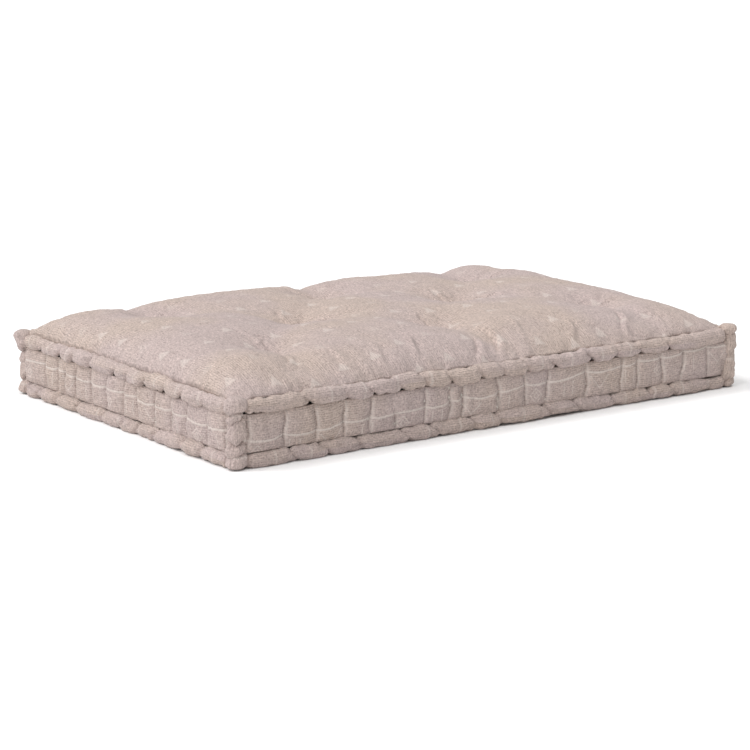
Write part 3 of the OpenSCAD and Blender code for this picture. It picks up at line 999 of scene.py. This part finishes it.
def sewn_relief(x, y):
    """Height of the folds, of the pleats round the tufts and of the gathers along the seams."""
    relief = np.zeros_like(x)
    for number, (x0, y0, x1, y1, bow, high) in enumerate(FOLDS):
        t, side = near_segment(x, y, x0, y0, x1, y1)
        side = side - bow * 4 * t * (1 - t) + 0.002 * drift(t * 0.1, 0.0, 0.05, 300 + number)
        taper = np.where((t > 0) & (t < 1), np.sin(math.pi * np.clip(t, 0, 1)) ** 0.6, 0)
        relief += 1.4 * high * taper * (np.exp(-(side / 0.0040) ** 2)
                                        - 0.5 * np.exp(-((side - 0.010) / 0.008) ** 2))
    for number, tuft in enumerate(TUFTS):
        rng = np.random.default_rng(500 + number)
        far = np.hypot(x - tuft[0], y - tuft[1])
        turn = np.arctan2(y - tuft[1], x - tuft[0]) + 0.25 * np.sin(far / 0.012)
        pleats = sum(np.cos(n * turn + rng.uniform(0, math.tau)) / math.sqrt(n)
                     for n in (3, 5, 7, 9))
        relief += 0.0022 * pleats * np.exp(-far / 0.036) * ease(far / 0.018)
        for way, strong in TUFT_CREASES:
            way = math.radians(way + rng.uniform(-12, 12))
            reach = rng.uniform(0.055, 0.085)
            out = (x - tuft[0]) * math.cos(way) + (y - tuft[1]) * math.sin(way)
            side = (y - tuft[1]) * math.cos(way) - (x - tuft[0]) * math.sin(way) - 1.6 * out ** 2
            fade = np.exp(-(out / reach) ** 2) * ease(out / 0.012)
            relief += strong * fade * (-0.0050 * np.exp(-(side / (0.003 + 0.05 * np.abs(out))) ** 2)
                                       + 0.0022 * np.exp(-((side - 0.011) / 0.008) ** 2))
    for along, other, off, names in ((x, y, PANEL_Y - np.abs(y), ("front", "back")),
                                     (y, x, PANEL_X - np.abs(x), ("left", "right"))):
        for name, sign in zip(names, (-1, 1)):
            leaning = along + 0.15 * off * np.sin(along * 31)
            gap = station_field(leaning, edge_marks("top", name))[0]
            half = other * sign > 0
            puckers = drift(along, off * 0.35, 0.021, 600 + len(name)) \
                + 0.6 * drift(along, off * 0.2, 0.010, 640 + len(name))
            relief += half * (0.0026 * puckers * np.exp(-off / 0.022)
                              - 0.0046 * np.exp(-gap / 0.006) * np.exp(-off / 0.026))
    relief += 0.0006 * drift(x, y, 0.030, 7) + 0.00025 * drift(x, y, 0.012, 8)
    edge = np.minimum(PANEL_X - np.abs(x), PANEL_Y - np.abs(y))
    return relief * ease(edge / 0.006 + 0.15)


def clear_of_rolls(points):
    """Moves points that would lie deep inside a roll back to where its cloth is sewn."""
    for axis, face in ((0, HALF_X), (1, HALF_Y)):
        line = face - ROLL_R
        away = line - np.abs(points[..., axis])
        up = points[..., 2] - TOP_ROLL_Z
        far = np.hypot(away, up)
        push = np.where(far < SEAM_R, SEAM_R / np.maximum(far, 1e-4), 1.0)
        points[..., axis] = np.sign(points[..., axis]) * (line - away * push)
        points[..., 2] = TOP_ROLL_Z + up * push
    return points


_made_points = {}


def top_panel_points():
    """Points of the finished top panel, and the places of its cut cloth, as grids."""
    if "top" not in _made_points:
        cell = shape().cell
        flat_x, x_line = panel_line(PANEL_X, cell)
        flat_y, y_line = panel_line(PANEL_Y, cell)
        x, y = grid_of(x_line, y_line)
        z = start_height(x_line, y_line)
        points = swell_panel(x, y, z, cell)
        points[..., 2] += sewn_relief(x, y)
        points[..., 2] = np.clip(points[..., 2], PANEL_LOW, PANEL_HIGH)
        _made_points["top"] = clear_of_rolls(points)
        _made_points["flat"] = grid_of(flat_x, flat_y)
    return _made_points["top"], _made_points["flat"]


class MATTRESS_OT_top_panel(bpy.types.Operator):
    """Make the tufted top panel by swelling its cloth between the seams and tufts"""

    bl_idname = "mattress.top_panel"
    bl_label = "Top Panel"

    def execute(self, context):
        points, (x, y) = top_panel_points()
        # The warp of the cloth runs across the mattress
        obj = mesh_object("tufted_top_panel", points, np.stack([y, x], axis=-1))
        tidy_normals(obj, Vector((0, 0, 1)))
        thicken(obj, CLOTH)
        keep(obj, "top", "top_cloth", "top_panel")
        return {"FINISHED"}


def dishes(x, y):
    """Height to which the tufts pull the bottom panel up."""
    z = np.zeros_like(x)
    for number, tuft in enumerate(TUFTS):
        far = np.hypot(x - tuft[0], y - tuft[1])
        turn = np.arctan2(y - tuft[1], x - tuft[0])
        pleats = 1 + 0.22 * np.sin(7 * turn + number) * ease(far / 0.02)
        z = np.maximum(z, DISH_H * np.exp(-(far / 0.021) ** 1.6) * pleats)
    return np.clip(z - 0.0004, 0, DISH_H)


class MATTRESS_OT_bottom_panel(bpy.types.Operator):
    """Make the flat bottom panel, with a dish at each tuft"""

    bl_idname = "mattress.bottom_panel"
    bl_label = "Bottom Panel"

    def execute(self, context):
        step = 0.0065
        nx, ny = int(2 * BOTTOM_X / step), int(2 * BOTTOM_Y / step)
        x, y = grid_of(np.linspace(-BOTTOM_X, BOTTOM_X, nx), np.linspace(-BOTTOM_Y, BOTTOM_Y, ny))
        rim = np.minimum(BOTTOM_X - np.abs(x), BOTTOM_Y - np.abs(y))
        z = dishes(x, y) + 0.0008 * (1 - ease(rim / 0.008))
        points, uvs = np.stack([x, y, z], axis=-1), np.stack([y, x], axis=-1)
        obj = mesh_object("flat_bottom_panel", points, uvs)
        tidy_normals(obj, Vector((0, 0, -1)))
        thicken(obj, CLOTH)
        keep(obj, "bottom", "bottom_cloth", "bottom_panel")
        return {"FINISHED"}


# The crown filling: cells of the panel that it keeps below, how far below them, its least height
# over the layer beneath, the gap between the two, and the width of its pressed rim
NEAR_CELLS, UNDER_PANEL, LEAST_FILLING, FILLING_GAP, PRESSED_RIM = 3, 0.0035, 0.004, 0.0003, 0.050


def lowest_near(grid, reach):
    """The lowest value within reach of each place of a grid."""
    for axis in (0, 1):
        grid = np.min([np.roll(grid, step, axis) for step in range(-reach, reach + 1)], axis=0)
    return grid


class MATTRESS_OT_crown_filling(bpy.types.Operator):
    """Make the fibre that fills the space under the top panel"""

    bl_idname = "mattress.crown_filling"
    bl_label = "Crown Filling"

    def execute(self, context):
        points, _ = top_panel_points()
        upper = points[::2, ::2].copy()
        upper[..., 2] = lowest_near(points[..., 2], NEAR_CELLS)[::2, ::2]
        for axis, half, edge in ((0, PANEL_X, BATT_X), (1, PANEL_Y, BATT_Y)):
            # Only the rim is pressed inwards, so that the rest follows the panel
            inner = edge - PRESSED_RIM
            far = np.abs(upper[..., axis])
            pressed = inner + (far - inner) * (edge - inner) / (half - inner)
            upper[..., axis] = np.sign(upper[..., axis]) * np.where(far > inner, pressed, far)
        upper[..., 2] = np.maximum(upper[..., 2] - UNDER_PANEL, BATT_TOP_Z + LEAST_FILLING)
        lower = upper.copy()
        lower[..., 2] = BATT_TOP_Z + FILLING_GAP
        obj = closed_slab("crown_filling", upper, lower)
        tidy_normals(obj)
        keep(obj, "fibre", "fibre", "crown_batt")
        return {"FINISHED"}


def closed_slab(name, upper, lower):
    """Closed mesh between two grids of points, with a wall round their rims."""
    rows, columns = upper.shape[:2]
    count = rows * columns
    i, j = grid_of(np.arange(rows - 1), np.arange(columns - 1))
    a = (i * columns + j).ravel()
    quad = np.stack([a, a + columns, a + columns + 1, a + 1], axis=1)
    ring = [*range(columns), *range(2 * columns - 1, count, columns),
            *range(count - 2, count - columns - 1, -1),
            *range(count - 2 * columns, 0, -columns)]
    wall = [[p, q, q + count, p + count] for p, q in zip(ring, ring[1:] + ring[:1])]
    mesh = bpy.data.meshes.new(name)
    points = np.concatenate([upper.reshape(-1, 3), lower.reshape(-1, 3)])
    mesh.from_pydata(points.tolist(), [], quad.tolist() + (quad + count)[:, ::-1].tolist() + wall)
    smooth_shaded(mesh)
    return placed(name, mesh)


# Distances from a slab's edge at which its rows of points lie
SLAB_EDGE = (0.0, 0.0004, 0.0014, 0.003, 0.0055, 0.009, 0.014)


def slab_line(half, cell):
    """Coordinates across a slab, closer together at its edges."""
    inner = half - SLAB_EDGE[-1] - cell
    middle_part = np.linspace(-inner, inner, int(2 * inner / cell) + 2)
    edge = half - np.array(SLAB_EDGE)
    return np.concatenate([-edge, middle_part, edge[::-1]])


def soft_slab(name, node, seed, corner=0.070, cell=0.014, floor=None):
    """A layer of fibre in a CAD node's box, with soft edges, whose corners clear the corner rolls.
    Where a floor is given, its underside stays above that level."""
    low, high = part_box(node)
    half_x, half_y, thick = (high.x - low.x) / 2, (high.y - low.y) / 2, high.z - low.z
    x, y = grid_of(slab_line(half_x, cell), slab_line(half_y, cell))
    a = np.clip((np.abs(x) - half_x + corner) / corner, 0, 1)
    b = np.clip((np.abs(y) - half_y + corner) / corner, 0, 1)
    round_a, round_b = a * np.sqrt(1 - b * b / 2), b * np.sqrt(1 - a * a / 2)
    x = np.where(a * b > 0, np.sign(x) * (half_x - corner + corner * round_a), x)
    y = np.where(a * b > 0, np.sign(y) * (half_y - corner + corner * round_b), y)
    rim = np.where(a * b > 0, corner * (1 - np.hypot(round_a, round_b)),
                   np.minimum(half_x - np.abs(x), half_y - np.abs(y)))
    bend = np.sqrt(1 - (1 - np.clip(rim / (thick / 2), 0, 1)) ** 2) * thick / 2
    middle_z = (low.z + high.z) / 2
    rough = 0.0005 * (1 + drift(x, y, 0.07, seed)) * bend / (thick / 2)
    upper = np.stack([x, y, middle_z + bend - rough], axis=-1)
    lower = np.stack([x, y, middle_z - bend + rough], axis=-1)
    if floor:
        lower[..., 2] = np.minimum(np.maximum(lower[..., 2], floor(x, y)), upper[..., 2] - 0.0008)
    upper[..., :2] += np.array([(low.x + high.x) / 2, (low.y + high.y) / 2])
    lower[..., :2] = upper[..., :2]
    return closed_slab(name, upper, lower)


def over_dishes(x, y):
    """Level that the lowest layer keeps above the bottom panel and its dishes."""
    nearby = [dishes(x + a, y + b) for a in (-0.004, 0, 0.004) for b in (-0.004, 0, 0.004)]
    return np.max(nearby, axis=0) + CLOTH + 0.0006


class MATTRESS_OT_inner_filling(bpy.types.Operator):
    """Make the layers of felted fibre between the panels"""

    bl_idname = "mattress.inner_filling"
    bl_label = "Inner Filling"

    def execute(self, context):
        layers = [n for n in sorted(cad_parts) if n.startswith(("lower_batt", "middle_batt"))]
        for number, node in enumerate(layers):
            on_dishes = {"cell": 0.009, "floor": over_dishes} if node == "lower_batt_1" else {}
            obj = soft_slab(node.replace("batt", "filling"), node, 120 + number, **on_dishes)
            tidy_normals(obj)
            keep(obj, "fibre", "fibre", node)
        return {"FINISHED"}


# ---------------------------------------------------------------- stitches and ties


# Sizes of the hand stitches
STITCHES = {"Stitch Spacing": 0.0092, "Stitch Length": 0.0062, "Thread Thickness": 0.0013,
            "Unevenness": 0.22}


def stitch_tree():
    """Geometry Nodes that lay short thread stitches along a path."""
    tree = bpy.data.node_groups.new("thread_stitches", "GeometryNodeTree")
    for name, kind in (("Path", "Geometry"), *((key, "Float") for key in STITCHES),
                       ("Thread Material", "Material")):
        tree.interface.new_socket(name, in_out="INPUT", socket_type="NodeSocket" + kind)
    tree.interface.new_socket("Stitches", in_out="OUTPUT", socket_type="NodeSocketGeometry")
    web = Web(tree)
    given = tree.nodes.new("NodeGroupInput").outputs
    curve = web.add("GeometryNodeMeshToCurve", {"Mesh": given["Path"]}).outputs[0]
    places = web.add("GeometryNodeCurveToPoints",
                     {"Curve": curve, "Length": given["Stitch Spacing"]}, mode="LENGTH").outputs
    bead = web.add("GeometryNodeMeshUVSphere", {"Segments": 8, "Rings": 6, "Radius": 0.5})
    thick = given["Thread Thickness"]
    size = web.vector(given["Stitch Length"], thick, thick)
    thread = web.add("GeometryNodeTransform",
                     {"Geometry": bead.outputs["Mesh"], "Scale": size}).outputs[0]
    ahead = web.add("FunctionNodeAlignRotationToVector", {"Vector": places["Tangent"]},
                    axis="X").outputs[0]
    most = given["Unevenness"]
    least = web.times(most, -1.0)
    tilt = web.add("FunctionNodeRandomValue", {"Min": web.vector(least, least, least),
                                               "Max": web.vector(most, most, most), "Seed": 4},
                   data_type="FLOAT_VECTOR").outputs[0]
    tilt = web.add("FunctionNodeEulerToRotation", {0: tilt}).outputs[0]
    turned = web.add("FunctionNodeRotateRotation", {0: ahead, 1: tilt},
                     rotation_space="LOCAL").outputs[0]
    laid = web.add("GeometryNodeInstanceOnPoints", {"Points": places["Points"], "Instance": thread,
                                                    "Rotation": turned}).outputs[0]
    real = web.add("GeometryNodeRealizeInstances", {"Geometry": laid}).outputs[0]
    smooth = web.add("GeometryNodeSetShadeSmooth", {"Geometry": real}).outputs[0]
    done = web.add("GeometryNodeSetMaterial",
                   {"Geometry": smooth, "Material": given["Thread Material"]})
    tree.links.new(done.outputs[0], tree.nodes.new("NodeGroupOutput").inputs[0])
    return tree


def stitch_rows(name, paths):
    """One mesh of the stitches along several paths."""
    tree = bpy.data.node_groups.get("thread_stitches") or stitch_tree()
    vertices, edges = [], []
    for path in paths:
        first = len(vertices)
        vertices += [tuple(p) for p in path]
        edges += [(k, k + 1) for k in range(first, len(vertices) - 1)]
    mesh = bpy.data.meshes.new(name)
    mesh.from_pydata(vertices, edges, [])
    obj = placed(name, mesh)
    modifier = obj.modifiers.new("Stitches", "NODES")
    modifier.node_group = tree
    values = {**STITCHES, "Thread Material": finish_of("twine")}
    for socket in tree.interface.items_tree:
        if socket.name in values:
            modifier[socket.identifier] = values[socket.name]
    bake_modifiers(obj)
    return obj


def roll_line(side, level, turn):
    """The line that runs along a roll's cloth at an angle round it, where 0 faces outwards."""
    points, _ = roll_points(side, level, edge_marks(level, side), roll_seed(side, level))
    column = int(round(turn % math.tau / math.tau * points.shape[1])) % points.shape[1]
    return points[8:-8, column]


def corner_line(corner, direction):
    """The line up a corner roll's cloth that faces a direction, between its two knobs."""
    points, _ = corner_points(corner, corner_seed(corner))
    turn = math.atan2(direction[1], direction[0]) % math.tau
    column = int(round(turn / math.tau * points.shape[1])) % points.shape[1]
    rows = points.shape[0]
    return points[rows // 4:rows * 3 // 4, column]


class MATTRESS_OT_seam_stitches(bpy.types.Operator):
    """Sew the rolls to the panels and borders with rows of thread stitches"""

    bl_idname = "mattress.seam_stitches"
    bl_label = "Seam Stitches"

    def execute(self, context):
        over, under = math.pi - SEAM_TURN * 1.05, math.radians(-68)
        top = [roll_line(side, "top", turn) for side in SIDES for turn in (over, under)]
        low = [roll_line(side, "bottom", math.radians(66)) for side in SIDES]
        c, k = math.cos(math.radians(34)), math.sin(math.radians(34))
        upright = [corner_line(name, way) for name, (sx, sy) in CORNERS.items()
                   for way in ((-sx * c, sy * k), (sx * k, -sy * c))]
        for name, paths, node in (("upper_seam_stitches", top, "top_roll_twines"),
                                  ("lower_seam_stitches", low, "bottom_roll_twines"),
                                  ("corner_seam_stitches", upright, "corner_roll_twines")):
            keep(stitch_rows(name, paths), "twine", "twine", node)
        return {"FINISHED"}


def twine_tube(path, radius, columns=12):
    """Points and UVs of a twisted three-ply twine along a path."""
    path = np.asarray(path, float)
    ahead = np.gradient(path, axis=0)
    ahead /= np.linalg.norm(ahead, axis=1, keepdims=True)
    side = np.zeros_like(path)
    last = np.array([0.0, 1.0, 0.0])
    for number, tangent in enumerate(ahead):
        last = last - tangent * last.dot(tangent)
        last /= np.linalg.norm(last)
        side[number] = last
    up = np.cross(ahead, side)
    run = np.concatenate([[0], np.cumsum(np.linalg.norm(np.diff(path, axis=0), axis=1))])[:, None]
    turn = np.linspace(0, math.tau, columns, endpoint=False)[None, :]
    thick = radius * (0.90 + 0.13 * np.cos(3 * turn - run / 0.0011))
    points = path[:, None] + thick[..., None] * (np.cos(turn)[..., None] * side[:, None]
                                                 + np.sin(turn)[..., None] * up[:, None])
    return points, wrapped_uvs(run[:, 0], radius, columns)


def smooth_path(corners, step=0.0009, rounds=5):
    """Evenly spaced points along straight stretches, with the corners rounded."""
    corners = np.asarray(corners, float)
    run = np.concatenate([[0], np.cumsum(np.linalg.norm(np.diff(corners, axis=0), axis=1))])
    along = np.linspace(0, run[-1], int(run[-1] / step) + 2)
    path = np.stack([np.interp(along, run, corners[:, k]) for k in range(3)], axis=1)
    for _ in range(rounds):
        path[1:-1] = (path[:-2] + 2 * path[1:-1] + path[2:]) / 4
    return path


def joined(name, grids):
    """One object from several closed tubes."""
    work = bmesh.new()
    for points, uvs in grids:
        part = mesh_object(name, points, uvs, tube=True)
        work.from_mesh(part.data)
        mesh = part.data
        bpy.data.objects.remove(part)
        bpy.data.meshes.remove(mesh)
    mesh = bpy.data.meshes.new(name)
    work.to_mesh(mesh)
    work.free()
    smooth_shaded(mesh)
    obj = placed(name, mesh)
    tidy_normals(obj)
    return obj


def knot_grid(centre, radius, seed, rows=26, columns=28):
    """Points and UVs of a small wound knot."""
    tilt = np.linspace(0, math.pi, rows)[:, None]
    turn = np.linspace(0, math.tau, columns, endpoint=False)[None, :]
    wound = radius * (0.92 + 0.10 * np.cos(4 * turn + 7 * tilt + seed))
    points = np.stack([centre[0] + wound * np.sin(tilt) * np.cos(turn),
                       centre[1] + wound * np.sin(tilt) * np.sin(turn),
                       centre[2] + 0.85 * wound * np.cos(tilt) * np.ones_like(turn)], axis=-1)
    return points, wrapped_uvs(tilt[:, 0] * radius, radius, columns)


# The tufting twine: its radius, half the width of a loop, and the top of a loop over its pit
TWINE_R, LOOP_REACH, LOOP_OVER_PIT = 0.0011, 0.0045, 0.0026
# Path of a cut end of the twine, from the top of its loop
TWINE_END = ((0.001, 0.0, 0.0006), (0.004, 0.004, 0.0022),
             (0.009, 0.006, 0.0030), (0.013, 0.010, 0.0036))


class MATTRESS_OT_tufts(bpy.types.Operator):
    """Make the twine that pulls the panels together at each tuft, and its knots"""

    bl_idname = "mattress.tufts"
    bl_label = "Tufts"

    def execute(self, context):
        knot_r = extent("tuft_knots").z / 2
        high = PIT_Z + LOOP_OVER_PIT
        loops, knots = [], []
        for number, (x, y, z) in enumerate(TUFTS):
            near, far = x - LOOP_REACH, x + LOOP_REACH
            loop = ((x, y, z), (near, y, z + 0.001), (near, y, high), (far, y, high),
                    (far, y, z + 0.001), (x, y, z))
            loops.append(twine_tube(smooth_path(loop), TWINE_R))
            for way in (-1, 1):
                end = [(x + way * a, y + way * b, high + c) for a, b, c in TWINE_END]
                loops.append(twine_tube(smooth_path(end, step=0.0006), TWINE_R * 0.8))
            knots.append(knot_grid((x, y, z), knot_r, number))
            knots.append(knot_grid((x, y, high + 0.0004), 0.0024, number + 9))
        keep(joined("tufting_twines", loops), "twine", "twine", "tuft_twines")
        keep(joined("tufting_knots", knots), "twine", "twine", "tuft_knots")
        return {"FINISHED"}


# ---------------------------------------------------------------- stage


FLOOR_REACH, FLOOR_Z = 60, -0.0004
ROOM_LIGHT = 0.38
# Soft lamps, as from large windows: place, spread in degrees and power
LAMPS = {
    "key_light": ((-0.85, 0.60, 1.30), 24, 1.72),
    "side_light": ((-1.00, -0.30, 0.50), 20, 0.88),
    "top_light": ((0.10, -0.25, 1.5), 50, 1.35),
}
CAMERA_PLACE, CAMERA_AIM = (-2.6330, -3.6221, 0.9677), (-0.0936, -0.1144, 0.060)
LENS, SENSOR = 110, 36


def aimed(obj, place, aim):
    """Puts a lamp or camera at a place, and turns it towards another."""
    obj.location = place
    obj.rotation_euler = (Vector(aim) - obj.location).to_track_quat("-Z", "Y").to_euler()
    return obj


class MATTRESS_OT_stage(bpy.types.Operator):
    """Make the floor, the soft light and the camera"""

    bl_idname = "mattress.stage"
    bl_label = "Stage"

    def execute(self, context):
        scene = context.scene
        mesh = bpy.data.meshes.new("floor")
        mesh.from_pydata([(x * FLOOR_REACH, y * FLOOR_REACH, FLOOR_Z)
                          for x, y in ((-1, -1), (1, -1), (1, 1), (-1, 1))], [], [(0, 1, 2, 3)])
        floor = placed("floor", mesh)
        material, _, shader = new_material("pale_floor")
        shader.inputs["Base Color"].default_value = (0.92, 0.92, 0.92, 1)
        shader.inputs["Roughness"].default_value = 0.9
        shader.inputs["Specular IOR Level"].default_value = 0.0
        mesh.materials.append(material)
        world = bpy.data.worlds.new("soft_room")
        world.use_nodes = True
        background = world.node_tree.nodes["Background"]
        background.inputs[0].default_value = (1, 1, 1, 1)
        background.inputs[1].default_value = ROOM_LIGHT
        scene.world = world
        for name, (place, spread, power) in LAMPS.items():
            data = bpy.data.lights.new(name, "SUN")
            data.angle = math.radians(spread)
            data.energy = power
            aimed(placed(name, data), place, (0, 0, 0))
        data = bpy.data.cameras.new("camera")
        data.lens = LENS
        data.sensor_width = SENSOR
        scene.camera = aimed(placed("camera", data), CAMERA_PLACE, CAMERA_AIM)
        scene.view_settings.view_transform = "Standard"
        return {"FINISHED"}


# ---------------------------------------------------------------- add-on


class MATTRESS_PT_panel(bpy.types.Panel):
    """Lists the steps that make the mattress"""

    bl_label = "Mattress"
    bl_space_type = "VIEW_3D"
    bl_region_type = "UI"
    bl_category = "Mattress"

    def draw(self, context):
        layout = self.layout
        for group in (context.scene.mattress_shape, context.scene.mattress_colours):
            for key in group.bl_rna.properties.keys():
                if key not in {"rna_type", "name"}:
                    layout.prop(group, key)
        for operator in OPERATORS:
            layout.operator(operator.bl_idname)


OPERATORS = (
    MATTRESS_OT_stage,
    MATTRESS_OT_top_panel,
    MATTRESS_OT_crown_filling,
    MATTRESS_OT_inner_filling,
    MATTRESS_OT_bottom_panel,
    MATTRESS_OT_borders,
    MATTRESS_OT_rolled_edges,
    MATTRESS_OT_corner_rolls,
    MATTRESS_OT_seam_stitches,
    MATTRESS_OT_tufts,
)
CLASSES = (MattressShape, MattressColours, *OPERATORS, MATTRESS_PT_panel)


def register():
    """Registers the settings, operators and panel."""
    for cls in CLASSES:
        bpy.utils.register_class(cls)
    bpy.types.Scene.mattress_shape = bpy.props.PointerProperty(type=MattressShape)
    bpy.types.Scene.mattress_colours = bpy.props.PointerProperty(type=MattressColours)


def unregister():
    """Removes the settings, operators and panel."""
    del bpy.types.Scene.mattress_colours
    del bpy.types.Scene.mattress_shape
    for cls in reversed(CLASSES):
        bpy.utils.unregister_class(cls)


def main():
    """Makes every piece in order."""
    register()
    for operator in OPERATORS:
        group, name = operator.bl_idname.split(".")
        getattr(getattr(bpy.ops, group), name)()


if __name__ == "__main__":
    main()
